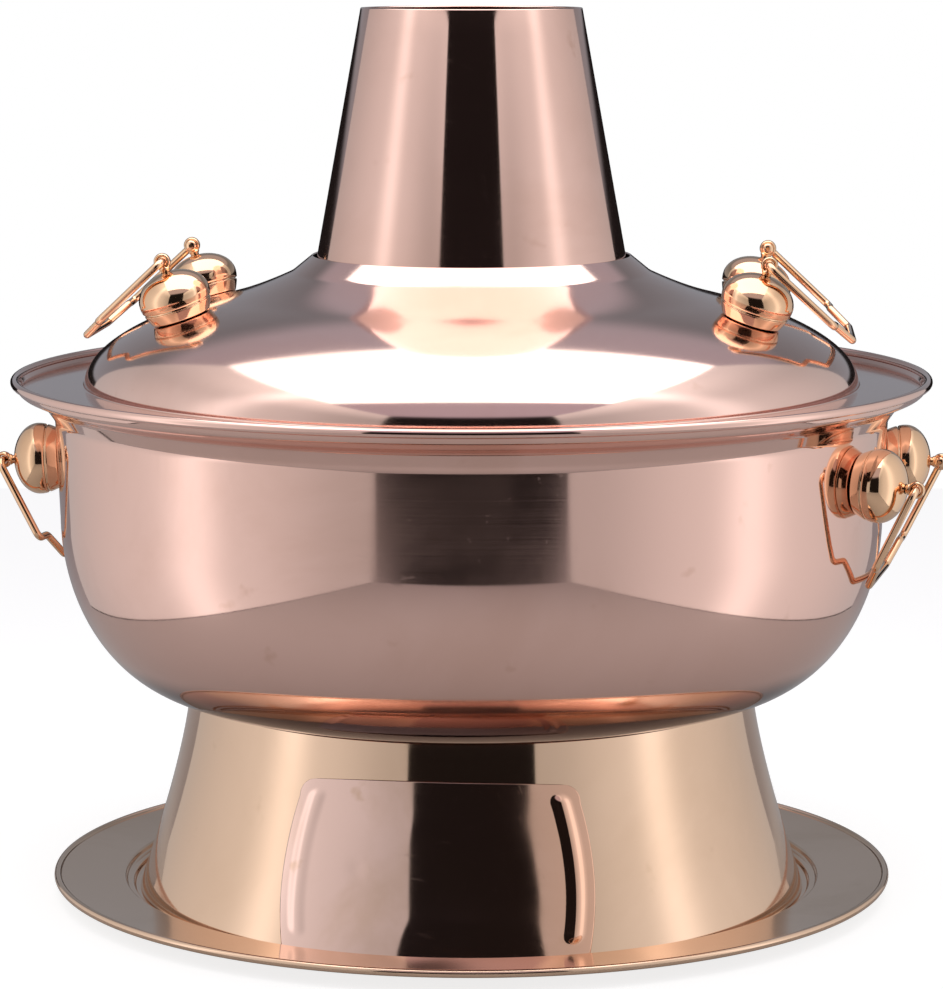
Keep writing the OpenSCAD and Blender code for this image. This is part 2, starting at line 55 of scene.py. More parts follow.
# %% Camera
CAMERA_TURN = math.radians(13.5)
CAMERA_TILT = math.radians(8.3)
camera_data = bpy.data.cameras.new("photo_camera")
camera_data.sensor_width = 36
camera_data.lens = 137.9
camera = bpy.data.objects.new("photo_camera", camera_data)
camera.location = (1.48 * math.sin(CAMERA_TURN), -1.48 * math.cos(CAMERA_TURN), 0.372)
camera.rotation_euler = (math.radians(90) - CAMERA_TILT, 0, CAMERA_TURN)
bpy.context.scene.collection.objects.link(camera)
bpy.context.scene.camera = camera
bpy.context.scene.view_settings.view_transform = "Standard"
print("camera stands at", [round(v, 3) for v in camera.location])

# %% [markdown]
# ## Nodes in one line
# Materials, the studio and the Geometry Nodes trees are all built of nodes. One helper adds a
# node, sets its options, and fills each input with a value or a link.

# %% A helper for nodes
def put(tree, kind, inputs=None, **options):
    node = tree.nodes.new(kind)
    for option, value in options.items():
        setattr(node, option, value)
    for socket, value in (inputs or {}).items():
        if isinstance(value, bpy.types.NodeSocket):
            tree.links.new(value, node.inputs[socket])
        else:
            node.inputs[socket].default_value = value
    return node


def maths(tree, operation, a, b=0.0, c=0.0):
    return put(tree, "ShaderNodeMath", {0: a, 1: b, 2: c}, operation=operation).outputs[0]


# %% [markdown]
# ## Turned sheet metal
# Nearly every big piece of this pot is a sheet turned round an axis. It is described by one
# path, its outer face, with the metal on the path's left as it is walked. A helper gives the
# path its thickness and round edges, or a rolled bead, and another turns the closed outline
# round Z. Paths are in millimetres, as pairs of radius and height.

# %% Helpers for paths
def arc_path(middle, width, height, start, end, steps=32):
    """Part of an ellipse round a middle point, between two angles in degrees."""
    angles = np.radians(np.linspace(start, end, steps + 1))
    return np.column_stack((middle[0] + width * np.cos(angles),
                            middle[1] + height * np.sin(angles)))


def softened(path, cut, steps=6):
    """Every corner sharper than 12 degrees becomes a small curve."""
    path = np.array(path, float)
    points = [path[0]]
    for before, corner, after in zip(path, path[1:], path[2:]):
        to_before, to_after = before - corner, after - corner
        reach_in, reach_out = np.linalg.norm(to_before), np.linalg.norm(to_after)
        straight = -np.dot(to_before, to_after) / reach_in / reach_out
        if straight > math.cos(math.radians(12)):
            points.append(corner)
            continue
        start = corner + to_before / reach_in * min(cut, 0.45 * reach_in)
        end = corner + to_after / reach_out * min(cut, 0.45 * reach_out)
        for s in np.linspace(0, 1, steps + 1):
            points.append((1 - s) ** 2 * start + 2 * s * (1 - s) * corner + s * s * end)
    return np.array(points + [path[-1]])


def moved_left(path, distance):
    steps = np.diff(path, axis=0)
    steps /= np.linalg.norm(steps, axis=1)[:, None]
    lefts = np.column_stack((-steps[:, 1], steps[:, 0]))
    sums = np.vstack((lefts[:1], lefts)) + np.vstack((lefts, lefts[-1:]))
    return path + 2 * distance * sums / (sums ** 2).sum(axis=1)[:, None]


def round_end(path, wall, bead, steps=20):
    """An arc round the end of a sheet's middle line, from its right face to its left."""
    tip = moved_left(path, wall / 2)[-1]
    heading = math.degrees(math.atan2(*(path[-1] - path[-2])[::-1]))
    opening = math.degrees(math.asin(min(1, wall / bead)))
    return arc_path(tip, bead / 2, bead / 2, heading - 180 + opening, heading + 180 - opening,
                    steps)


def sheet_outline(path, wall, start_bead=0, end_bead=0, ends_on_axis=False):
    """The closed outline of a sheet: its face, a round end, its other face, a round end."""
    back = moved_left(path, wall)[::-1]
    far = round_end(path, wall, max(end_bead, wall))
    if ends_on_axis:
        far = np.vstack((path[-1], back[0]))
    near = round_end(back, wall, max(start_bead, wall))
    return np.vstack((path[1:-1], far, back[1:-1], near))


one_corner = softened([[10, 0], [20, 0], [20, 9]], 2)
print("points in a sheet's outline, for one corner:", len(sheet_outline(one_corner, 1)))

# %% [markdown]
# ## Turning an outline
# Spinning an outline in columns of four-sided faces keeps the highlights clean, which long thin
# triangles wouldn't. Walking the outline with the metal on the left makes every face point
# outwards. Points on the axis are merged, and edges sharper than 40 degrees are marked sharp.

# %% The lathe
def new_piece(name, points, faces, sharp=40):
    """A mesh object from points in millimetres, smooth apart from its sharp edges."""
    mesh = bpy.data.meshes.new(name)
    mesh.from_pydata([tuple(point) for point in np.asarray(points) * MM], [], faces)
    work = bmesh.new()
    work.from_mesh(mesh)
    bmesh.ops.remove_doubles(work, verts=work.verts, dist=0.002 * MM)
    work.to_mesh(mesh)
    work.free()
    mesh.shade_smooth()
    mesh.set_sharp_from_angle(angle=math.radians(sharp))
    piece = bpy.data.objects.new(name, mesh)
    bpy.context.scene.collection.objects.link(piece)
    print(name, "has", len(mesh.polygons), "faces")
    return piece


def turned(name, outline, columns=256, closed=True, angles=None, skipped=None, sharp=40):
    """Turns an outline round Z. skipped(column, row) leaves a face out, for an opening."""
    angles = np.arange(columns) * 2 * math.pi / columns if angles is None else np.radians(angles)
    columns, rows = len(angles), len(outline)
    radius, height = np.array(outline).T
    points = np.stack((np.outer(np.cos(angles), radius), np.outer(np.sin(angles), radius),
                       np.tile(height, (columns, 1))), axis=-1).reshape(-1, 3)
    faces = []
    for column in range(columns):
        here, there = column * rows, (column + 1) % columns * rows
        for row in range(rows if closed else rows - 1):
            after = (row + 1) % rows
            if skipped is None or not skipped(column, row):
                faces.append((here + row, there + row, there + after, here + after))
    return new_piece(name, points, faces, sharp)


# %% [markdown]
# ## The studio
# Polished metal is only as good as what it mirrors. Traced back from the photograph, that is a
# light tent, square to the camera: two bright cloth walls 68 cm apart that end a little behind
# the pot, a lit ceiling between them, a dark opening where the camera stands, and a dim grey
# room behind. A lamp behind each wall makes a broad glow with a brighter strip in its middle.
# The walls are near, so the bowl and the chimney see their ends at different
# angles, which a painted sky wouldn't give. The far room is a big dome. The camera looks
# through all of it at a plain white world.

# %% The light tent
TENT_HALF_WIDTH, TENT_FRONT, TENT_BACK, TENT_HEIGHT, CEILING_FRONT = 340, -795, 262, 660, -330
WALL_LIGHT, LAMP_PLACE = 0.50, -160
BROAD_LIGHT, BROAD_REACH, STRIP_LIGHT, STRIP_REACH = 0.30, 260, 0.40, 50
HIGH_WALL_LIGHT, HIGH_WALL_FROM, HIGH_WALL_SOFT, CEILING_LIGHT = 0.6, 0.52, 0.12, 2.4
OPENING_LIGHT, ABOVE_OPENING_LIGHT = (0.012, 0.010, 0.010, 1), (0.51, 0.46, 0.53, 1)
BACK_LIGHT, BACK_FADE, BACK_LEAST = (0.30, 0.33, 0.37, 1), 0.7, 0.4
OPENING_TOP_RISE, OPENING_TOP_SOFT, BACK_FOOT_RISE, BACK_FOOT_SOFT = 0.64, 0.10, 0.10, 0.02
ROOM_RADIUS = 8000
to_the_side = Vector((math.cos(CAMERA_TURN), math.sin(CAMERA_TURN), 0))
to_the_back = Vector((-math.sin(CAMERA_TURN), math.cos(CAMERA_TURN), 0))


def studio_place(sideways, backwards, height):
    """A place in the studio, which is square to the camera, in millimetres."""
    return to_the_side * sideways + to_the_back * backwards + Vector((0, 0, height))


def new_material(name):
    material = bpy.data.materials.new(name)
    material.use_nodes = True
    material.node_tree.nodes.clear()
    return material, material.node_tree


def soft_step(tree, value, edge, width):
    """0 below the edge and 1 above it, over a soft width. A negative width turns it round."""
    return put(tree, "ShaderNodeMapRange", {"Value": value, "From Min": edge - width,
               "From Max": edge + width}, interpolation_type="SMOOTHSTEP").outputs[0]


def blend_colours(tree, share, a, b):
    return put(tree, "ShaderNodeMix", {0: share, 6: a, 7: b}, data_type="RGBA").outputs[2]


def studio_axes(tree):
    """How far a point lies to the side, to the back and up, in metres."""
    place = put(tree, "ShaderNodeTexCoord").outputs["Object"]
    ahead = put(tree, "ShaderNodeVectorRotate", {"Vector": place, "Angle": -CAMERA_TURN},
                rotation_type="Z_AXIS")
    return put(tree, "ShaderNodeSeparateXYZ", {0: ahead.outputs[0]}).outputs


def glowing(tree, colour, strength=1.0):
    cloth = put(tree, "ShaderNodeEmission", {"Color": colour, "Strength": strength})
    put(tree, "ShaderNodeOutputMaterial", {"Surface": cloth.outputs[0]})


def lamp_glow(tree, value, middle, reach):
    """1 at the middle of a lamp's glow, fading like a bell to both sides, in millimetres."""
    off = maths(tree, "DIVIDE", maths(tree, "SUBTRACT", value, middle * MM), reach * MM)
    return maths(tree, "EXPONENT", maths(tree, "MULTIPLY", maths(tree, "MULTIPLY", off, off), -1.0))


wall_cloth, tree = new_material("tent_walls")
side, back, up = studio_axes(tree)
broad = maths(tree, "MULTIPLY_ADD", lamp_glow(tree, back, LAMP_PLACE, BROAD_REACH), BROAD_LIGHT,
              WALL_LIGHT)
lamp = maths(tree, "MULTIPLY_ADD", lamp_glow(tree, back, LAMP_PLACE, STRIP_REACH), STRIP_LIGHT,
             broad)
high = soft_step(tree, up, HIGH_WALL_FROM, HIGH_WALL_SOFT)
lift = maths(tree, "MULTIPLY_ADD", high, HIGH_WALL_LIGHT, 1.0)
glowing(tree, (1, 1, 1, 1), maths(tree, "MULTIPLY", lamp, lift))

ceiling_cloth, tree = new_material("tent_ceiling")
glowing(tree, (CEILING_LIGHT, CEILING_LIGHT, CEILING_LIGHT, 1))

far_room, tree = new_material("far_room")
side, back, up = studio_axes(tree)
level = maths(tree, "SQRT", maths(tree, "ADD", maths(tree, "MULTIPLY", side, side),
                                  maths(tree, "MULTIPLY", back, back)))
rise = maths(tree, "DIVIDE", up, maths(tree, "MAXIMUM", level, 0.001))
front = blend_colours(tree, soft_step(tree, rise, OPENING_TOP_RISE, OPENING_TOP_SOFT),
                      OPENING_LIGHT, ABOVE_OPENING_LIGHT)
behind = maths(tree, "MULTIPLY", soft_step(tree, back, 0.5, 0.5),
               soft_step(tree, rise, BACK_FOOT_RISE, BACK_FOOT_SOFT))
fading = maths(tree, "MAXIMUM", maths(tree, "MULTIPLY_ADD", rise, -BACK_FADE, 1.0), BACK_LEAST)
glowing(tree, blend_colours(tree, maths(tree, "MULTIPLY", behind, fading), front, BACK_LIGHT))

room = turned("far_room", arc_path((0, 0), ROOM_RADIUS, ROOM_RADIUS, -90, 90), 64, closed=False)
room.data.materials.append(far_room)
studio_pieces = [room]
for name, x in (("tent_wall_left", -TENT_HALF_WIDTH), ("tent_wall_right", TENT_HALF_WIDTH)):
    corners = [studio_place(x, y, z) for y, z in (
        (TENT_FRONT, 0), (TENT_BACK, 0), (TENT_BACK, TENT_HEIGHT), (TENT_FRONT, TENT_HEIGHT))]
    studio_pieces.append(new_piece(name, corners, [(0, 1, 2, 3)]))
    studio_pieces[-1].data.materials.append(wall_cloth)
corners = [studio_place(x, y, TENT_HEIGHT) for x, y in (
    (-TENT_HALF_WIDTH, CEILING_FRONT), (TENT_HALF_WIDTH, CEILING_FRONT),
    (TENT_HALF_WIDTH, TENT_BACK), (-TENT_HALF_WIDTH, TENT_BACK))]
studio_pieces.append(new_piece("tent_ceiling", corners, [(0, 1, 2, 3)]))
studio_pieces[-1].data.materials.append(ceiling_cloth)
for piece in studio_pieces:
    piece.visible_camera = False

# %% [markdown]
# ## A white world, and a pale floor
# The floor is a board under the tent, as wide as the tent and wider behind it. Its glow keeps it
# white to the camera, where only the pot's shadow shows, but in the metal it is a dim grey.

# %% World and floor
FLOOR_HALF_WIDTH, FLOOR_WIDE, FLOOR_FRONT, FLOOR_BACK, FLOOR_TOP, FLOOR_DEPTH = (
    337, 900, -785, 1100, -0.2, 4)
FLOOR_COLOUR = (0.36, 0.355, 0.35, 1)
FLOOR_GLOW_SEEN, FLOOR_GLOW_MIRRORED = 0.80, 0.10


def seen_share(tree, by_camera, by_gloss):
    """How much of a glow the camera or glass sees, and how much polished metal sees."""
    path = put(tree, "ShaderNodeLightPath")
    camera_or_glass = maths(tree, "MAXIMUM", path.outputs["Is Camera Ray"],
                            path.outputs["Is Transmission Ray"])
    return maths(tree, "ADD", maths(tree, "MULTIPLY", camera_or_glass, by_camera),
                 maths(tree, "MULTIPLY", path.outputs["Is Glossy Ray"], by_gloss))


world = bpy.data.worlds.new("plain_white")
bpy.context.scene.world = world
world.use_nodes = True
world.node_tree.nodes.clear()
white = put(world.node_tree, "ShaderNodeBackground",
            {"Color": (1, 1, 1, 1), "Strength": seen_share(world.node_tree, 1.0, 1.0)})
put(world.node_tree, "ShaderNodeOutputWorld", {"Surface": white.outputs[0]})

floor_finish, tree = new_material("pale_floor")
paint = put(tree, "ShaderNodeBsdfPrincipled", {"Base Color": FLOOR_COLOUR, "Roughness": 0.9,
            "Specular IOR Level": 0.0, "Emission Color": (1, 1, 1, 1),
            "Emission Strength": seen_share(tree, FLOOR_GLOW_SEEN, FLOOR_GLOW_MIRRORED)})
put(tree, "ShaderNodeOutputMaterial", {"Surface": paint.outputs[0]})
half_outline = [(FLOOR_HALF_WIDTH, FLOOR_FRONT), (FLOOR_HALF_WIDTH, TENT_BACK),
                (FLOOR_WIDE, TENT_BACK), (FLOOR_WIDE, FLOOR_BACK)]
outline = half_outline + [(-x, y) for x, y in half_outline[::-1]]
count = len(outline)
floor = new_piece("floor", [studio_place(x, y, height) for height in
                            (FLOOR_TOP - FLOOR_DEPTH, FLOOR_TOP) for x, y in outline],
                  [tuple(range(count))[::-1], tuple(range(count, 2 * count))]
                  + [(i, after, after + count, i + count)
                     for i in range(count) for after in [(i + 1) % count]])
floor.data.materials.append(floor_finish)

# %% [markdown]
# ## Finishes of plated, polished sheet
# The sheets are polished on a spinning wheel, which leaves very fine lines round the axis, so
# highlights smear up and down but stay crisp sideways. That is anisotropic gloss, with its
# tangent taken round Z and a quarter turn. Three effects are shared by the finishes and are
# groups: the polish lines, the marks that hands and cloths leave, and the slow unevenness of
# pressed sheet. They put out values only, and each finish uses them at its own strength.

# %% Groups of nodes
def new_group(name, inputs, outputs):
    group = bpy.data.node_groups.new(name, "ShaderNodeTree")
    for label, default in inputs.items():
        group.interface.new_socket(name=label, in_out="INPUT",
                                   socket_type="NodeSocketFloat").default_value = default
    for label in outputs:
        group.interface.new_socket(name=label, in_out="OUTPUT", socket_type="NodeSocketFloat")
    entry = group.nodes.new("NodeGroupInput")
    return group, entry.outputs


def noise(tree, vector, scale, detail=2.0, roughness=0.5, **more):
    sockets = {"Vector": vector, "Scale": scale, "Detail": detail, "Roughness": roughness, **more}
    kind = "4D" if "W" in more else "3D"
    return put(tree, "ShaderNodeTexNoise", sockets, noise_dimensions=kind).outputs[0]


def placed(tree):
    return put(tree, "ShaderNodeTexCoord").outputs["Object"]


polish, entry = new_group("polish_lines", {"Lines per metre": 2600.0, "Length": 1.0}, ["Lines"])
x, y, z = put(polish, "ShaderNodeSeparateXYZ", {0: placed(polish)}).outputs
radius = maths(polish, "SQRT", maths(polish, "ADD", maths(polish, "MULTIPLY", x, x),
                                     maths(polish, "MULTIPLY", y, y)))
round_x = maths(polish, "MULTIPLY", maths(polish, "DIVIDE", x, radius), entry["Length"])
round_y = maths(polish, "MULTIPLY", maths(polish, "DIVIDE", y, radius), entry["Length"])
height_lines = maths(polish, "MULTIPLY", z, entry["Lines per metre"])
radius_lines = maths(polish, "MULTIPLY", radius, entry["Lines per metre"])
ring_place = put(polish, "ShaderNodeCombineXYZ", {0: round_x, 1: round_y, 2: height_lines})
lines = noise(polish, ring_place.outputs[0], 1.0, 1.0, 0.6, W=radius_lines)
put(polish, "NodeGroupOutput", {"Lines": lines})

marks, entry = new_group("hand_marks", {"Amount": 0.5}, ["Haze", "Spots", "Scratches"])
where = placed(marks)
cloudy = noise(marks, where, 9.0, 5.0, 0.6, Distortion=0.6)
haze = maths(marks, "MULTIPLY", soft_step(marks, cloudy, 0.56, 0.12), entry["Amount"])
speckle = noise(marks, where, 55.0, 3.0, 0.55)
spots = maths(marks, "MULTIPLY", soft_step(marks, speckle, 0.72, 0.05), entry["Amount"])
wiped = noise(marks, put(marks, "ShaderNodeMapping", {"Vector": where, "Rotation": (0.4, 0.9, 0.2),
              "Scale": (14, 420, 90)}).outputs[0], 3.0, 2.0, 0.5)
scratches = maths(marks, "MULTIPLY", soft_step(marks, wiped, 0.70, 0.03), entry["Amount"])
put(marks, "NodeGroupOutput", {"Haze": haze, "Spots": spots, "Scratches": scratches})

uneven, entry = new_group("uneven_sheet", {"Waves": 18.0}, ["Height"])
waves = noise(uneven, placed(uneven), entry["Waves"], 1.0, 0.4)
put(uneven, "NodeGroupOutput", {"Height": waves})
print("groups:", [group.name for group in (polish, marks, uneven)])


# %% A finish for polished sheet
def use_group(tree, group, **values):
    node = put(tree, "ShaderNodeGroup", node_tree=group)
    for label, value in values.items():
        node.inputs[label.replace("_", " ")].default_value = value
    return node.outputs


def sheet_finish(name, colour, tarnish, gloss, smear, wear, wave_height, lines=2600.0,
                 line_depth=0.03, extra=None):
    """Plated sheet. gloss is its roughness, smear its anisotropy, wave_height in millimetres."""
    material, tree = new_material(name)
    line_share = use_group(tree, polish, Lines_per_metre=lines)["Lines"]
    touched = use_group(tree, marks, Amount=wear)
    waves = use_group(tree, uneven)["Height"]
    faded = blend_colours(tree, maths(tree, "MULTIPLY", touched["Haze"], 0.35), colour, tarnish)
    spotted = blend_colours(tree, maths(tree, "MULTIPLY", touched["Spots"], 0.5), faded, tarnish)
    if extra:
        spotted = extra(tree, spotted)
    dulled = maths(tree, "MULTIPLY_ADD", line_share, line_depth, gloss - line_depth / 2)
    hazed = maths(tree, "MULTIPLY_ADD", touched["Haze"], 0.05, dulled)
    scuffed = maths(tree, "MULTIPLY_ADD", touched["Scratches"], 0.06, hazed)
    pressed = put(tree, "ShaderNodeBump", {"Strength": 1.0, "Distance": wave_height * MM,
                  "Height": waves})
    brushed = put(tree, "ShaderNodeBump", {"Strength": 0.25, "Distance": 0.002 * MM,
                  "Height": line_share, "Normal": pressed.outputs[0]})
    round_axis = put(tree, "ShaderNodeTangent", direction_type="RADIAL", axis="Z")
    metal = put(tree, "ShaderNodeBsdfPrincipled", {
        "Base Color": spotted, "Metallic": 1.0, "Roughness": scuffed, "Anisotropic": smear,
        "Anisotropic Rotation": 0.25, "Normal": brushed.outputs[0],
        "Tangent": round_axis.outputs[0]})
    put(tree, "ShaderNodeOutputMaterial", {"Surface": metal.outputs[0]})
    return material


ROSE, LID_ROSE, ROSE_TARNISH = (0.90, 0.60, 0.52, 1), (0.86, 0.60, 0.53, 1), (0.62, 0.36, 0.26, 1)
CHAMPAGNE, CHAMPAGNE_TARNISH = (0.90, 0.63, 0.46, 1), (0.60, 0.38, 0.22, 1)
DOOR_ROSE, DOOR_FILM, FILM_STARTS, FILM_SOFT, FILM_MOST = (
    (0.92, 0.64, 0.56, 1), (0.90, 0.51, 0.34, 1), 0.01, 0.05, 0.8)
# Painted shade: the dark brown below darkens the bowl low on its belly, where it mirrors the shaded
# tray and pedestal.
LOW_SHADE_COLOUR, LOW_SHADE_TOP = (0.115, 0.08, 0.09, 1), 0.098


def painted_low_shade(tree, colour):
    """Painted shade: dark brown low on the bowl, where it mirrors the shaded tray and pedestal,
    with a streaky upper edge.
    """
    where = placed(tree)
    height = put(tree, "ShaderNodeSeparateXYZ", {0: where}).outputs[2]
    streaks = noise(tree, where, 16.0, 2.0, 0.5)
    edge = maths(tree, "MULTIPLY_ADD", streaks, 0.006, height)
    low_shade_share = soft_step(tree, edge, LOW_SHADE_TOP, -0.006)
    return blend_colours(tree, low_shade_share, colour, LOW_SHADE_COLOUR)


def filmed(tree, colour):
    """A thin brown film, thicker towards the door's right side."""
    rightwards = soft_step(tree, studio_axes(tree)[0], FILM_STARTS, FILM_SOFT)
    return blend_colours(tree, maths(tree, "MULTIPLY", rightwards, FILM_MOST), colour, DOOR_FILM)


# The bowl's finish has painted shade low on its belly.
bowl_finish = sheet_finish("rose_bowl_polish", ROSE, ROSE_TARNISH, gloss=0.055, smear=0.35,
                           wear=0.6, wave_height=0.02, extra=painted_low_shade)
tube_finish = sheet_finish("rose_tube_polish", ROSE, ROSE_TARNISH, gloss=0.08, smear=0.6,
                           wear=0.7, wave_height=0.012)
lid_finish = sheet_finish("rose_lid_satin", LID_ROSE, ROSE_TARNISH, gloss=0.09, smear=0.5,
                          wear=0.5, wave_height=0.02, line_depth=0.04)
pedestal_finish = sheet_finish("champagne_pedestal_polish", CHAMPAGNE, CHAMPAGNE_TARNISH,
                               gloss=0.06, smear=0.4, wear=0.4, wave_height=0.015)
tray_finish = sheet_finish("champagne_tray_polish", CHAMPAGNE, CHAMPAGNE_TARNISH, gloss=0.12,
                           smear=0.6, wear=0.7, wave_height=0.02)
door_finish = sheet_finish("champagne_door_polish", DOOR_ROSE, CHAMPAGNE_TARNISH, gloss=0.06,
                           smear=0.3, wear=1.0, wave_height=0.05, extra=filmed)


# %% [markdown]
# ## The water tray
# A shallow pressed tray with a rolled rim and two steps down to its well. Its path is its upper
# face, walked from the rim to the middle.

# %% Water tray
tray_path = softened([[164.5, 7.4], [140.39, 5.6], [137.79, 5.6], [137.19, 3.3], [134.59, 3.3],
                      [133.99, 1], [0, 1]], 0.8)
water_tray = turned("water_tray_sheet", sheet_outline(tray_path, 1, start_bead=3,
                                                      ends_on_axis=True))
water_tray.data.materials.append(tray_finish)
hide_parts("water_tray")
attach(water_tray, "tray")

# %% [markdown]
# ## The pedestal
# The pedestal flares from the bowl's foot to the tray. It is turned as a single skin, with
# columns and rows of faces that end exactly at the vent, so the vent is made by leaving faces
# out. A Solidify modifier then gives the skin its thickness inwards, and closes the vent's edge.

# %% Pedestal
FOOT_Z, NECK_Z, NECK_RADIUS, FLARE = 1.3, 80, 111.5, 20.5
DOOR_TURN = -83
VENT_HALF, VENT_LOW, VENT_HIGH = 24.5, 14.3, 52.3


def pedestal_radius(z):
    return NECK_RADIUS + FLARE * np.maximum(0, 1 - (z - FOOT_Z) / (NECK_Z - FOOT_Z)) ** 1.35


heights = np.unique(np.concatenate((np.linspace(FOOT_Z + 0.05, VENT_LOW, 10),
                                    np.linspace(VENT_LOW, VENT_HIGH, 24),
                                    np.linspace(VENT_HIGH, NECK_Z - 1, 18))))
flare = np.column_stack((pedestal_radius(heights), heights))
ledge = softened([flare[-1], [NECK_RADIUS - 1, NECK_Z], [98.5, NECK_Z]], 1)
skin_path = np.vstack((flare, ledge[1:]))
vent_columns = 36
vent_angles = np.linspace(DOOR_TURN - VENT_HALF, DOOR_TURN + VENT_HALF, vent_columns + 1)
other_angles = np.linspace(vent_angles[-1], vent_angles[0] + 360, 222)[1:-1]


def in_vent(column, row):
    return column < vent_columns and VENT_LOW - 0.01 < skin_path[row][1] < VENT_HIGH - 0.01


def thicken(piece, wall):
    """Gives a skin its thickness, inwards."""
    solid = piece.modifiers.new("sheet thickness", "SOLIDIFY")
    solid.thickness = wall * MM
    solid.offset = -1
    solid.use_even_offset = True


pedestal = turned("pedestal_shell", skin_path, closed=False, skipped=in_vent,
                  angles=np.concatenate((vent_angles, other_angles)))
thicken(pedestal, 1)
pedestal.data.materials.append(pedestal_finish)
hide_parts("pedestal")
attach(pedestal, "pot")

# %% [markdown]
# ## The air door
# The door is a thin pressed sheet, hand-fitted, and it mirrors the room in wobbly bands. A
# dense grid follows the pedestal's flare, with bowed sides and round upper corners. Two ribs are
# pressed outwards along its sides, the left one shallower. Between them the panel swells, which
# narrows the dark band that it mirrors, and two shallow dents show where something was
# spot-welded behind it.

# %% Air door
DOOR_Z, DOOR_H, DOOR_HALF, DOOR_BOW, DOOR_CORNER, DOOR_ARCH = 1.9, 64, 25.5, 2.6, 7, 2
RIB_WIDTH, RIB_INSET, RIB_LEFT_PROUD, RIB_RIGHT_PROUD, RIB_LENGTH = 7.5, 2.95, 0.45, 1.15, 54
DOOR_OUT, DOOR_WALL = 1.4, 0.8
SWELL, SWELL_HALF_WIDTH, SWELL_FADE, SWELL_REACH = 1.1, 42, 15, 7
SWELL_MORE = [(0.4, 51), (0.3, 14)]   # how much more it swells, round which heights
DENTS = [(-29, 33, 0.25, 3.5), (27, 33, 0.25, 3.5), (-6, 12, 0.2, 7)]   # x, z, depth, size
WOBBLE_FADE, WOBBLE_SHARE, UNEVEN_SHARE, UNEVEN_SINK = 8, 0.8, 0.6, 0.1
SIDE_TOP = DOOR_Z + DOOR_H - DOOR_ARCH - DOOR_CORNER


def door_half_width(z):
    share = 2 * (z - DOOR_Z) / DOOR_H - 1
    angle = np.radians(DOOR_HALF + DOOR_BOW * (1 - share ** 2))
    return (pedestal_radius(z) + DOOR_OUT) * np.sin(angle)


def smooth(value):
    value = np.clip(value, 0, 1)
    return value * value * (3 - 2 * value)


across_steps, up_steps = 168, 120
u = np.linspace(-1, 1, across_steps + 1)
v = np.linspace(0, 1, up_steps + 1)
u = np.sin(u * math.pi / 2) * 0.35 + u * 0.65
side_width = door_half_width(SIDE_TOP)
corner_share = np.clip((v * DOOR_H + DOOR_Z - SIDE_TOP) / (DOOR_CORNER + DOOR_ARCH), 0, 1)
rows_z, rows_half = [], []
for height in v:
    z_row = DOOR_Z + height * DOOR_H
    if z_row <= SIDE_TOP:
        rows_z.append(z_row)
        rows_half.append(door_half_width(z_row))
    else:
        angle = math.asin(min(1, (z_row - SIDE_TOP) / (DOOR_CORNER + DOOR_ARCH)))
        rows_z.append(SIDE_TOP + DOOR_CORNER * math.sin(angle))
        rows_half.append(side_width - DOOR_CORNER * (1 - math.cos(angle)))
rows_z, rows_half = np.array(rows_z), np.array(rows_half)
flat_x = np.outer(rows_half, u)
arch = np.outer(smooth(corner_share), 1 - u ** 2) * DOOR_ARCH
flat_z = rows_z[:, None] + arch
rib_low, rib_high = DOOR_Z + (DOOR_H - RIB_LENGTH) / 2, DOOR_Z + (DOOR_H + RIB_LENGTH) / 2
rib_middle = door_half_width(flat_z) - RIB_INSET - RIB_WIDTH / 2
nearest_z = np.clip(flat_z, rib_low + RIB_WIDTH / 2, rib_high - RIB_WIDTH / 2)
rib_proud = np.where(flat_x < 0, RIB_LEFT_PROUD, RIB_RIGHT_PROUD)
rib_off = np.hypot(np.abs(flat_x) - rib_middle, flat_z - nearest_z)
rib_rise = rib_proud * smooth(1.05 - rib_off / (RIB_WIDTH / 2))


def dent(x, z, depth, size):
    return -depth * np.exp(-((flat_x - x) ** 2 + (flat_z - z) ** 2) / size ** 2)


wobble = (0.16 * np.sin(flat_z / 9.0 + 0.7) * np.sin(flat_x / 17.0 + 0.4)
          + 0.10 * np.sin(flat_z / 5.2 + flat_x / 23.0)
          + 0.05 * np.sin(flat_x / 6.5 + flat_z / 13.0))
wobble *= smooth((flat_z - DOOR_Z) / WOBBLE_FADE) * WOBBLE_SHARE
swell = SWELL + sum(more * np.exp(-((flat_z - height) / SWELL_REACH) ** 2)
                    for more, height in SWELL_MORE)
swell *= np.cos(np.clip(flat_x / SWELL_HALF_WIDTH, -1, 1) * math.pi / 2) ** 2
swell *= smooth((flat_z - DOOR_Z) / SWELL_FADE)
uneven_depth = (wobble + sum(dent(*place) for place in DENTS)) * UNEVEN_SHARE - UNEVEN_SINK
door_radius = pedestal_radius(flat_z) + DOOR_OUT + rib_rise + swell + uneven_depth
door_turn = math.radians(DOOR_TURN)
door_angle = np.arcsin(flat_x / (pedestal_radius(flat_z) + DOOR_OUT)) + door_turn
door_points = np.stack((door_radius * np.cos(door_angle), door_radius * np.sin(door_angle), flat_z),
                       axis=-1).reshape(-1, 3)
line = across_steps + 1
door_faces = [(row * line + i, row * line + i + 1, (row + 1) * line + i + 1, (row + 1) * line + i)
              for row in range(up_steps) for i in range(across_steps)]
air_door = new_piece("air_door_panel", door_points, door_faces, sharp=60)
thicken(air_door, DOOR_WALL)
air_door.data.materials.append(door_finish)
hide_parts("air_door")
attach(air_door, "air_door")

# %% [markdown]
# ## The bowl
# The bowl's floor turns up into a deep round belly and an upright wall. Above a crease the wall
# flares into a dished flange, and the flange's lip is rolled into a bead.

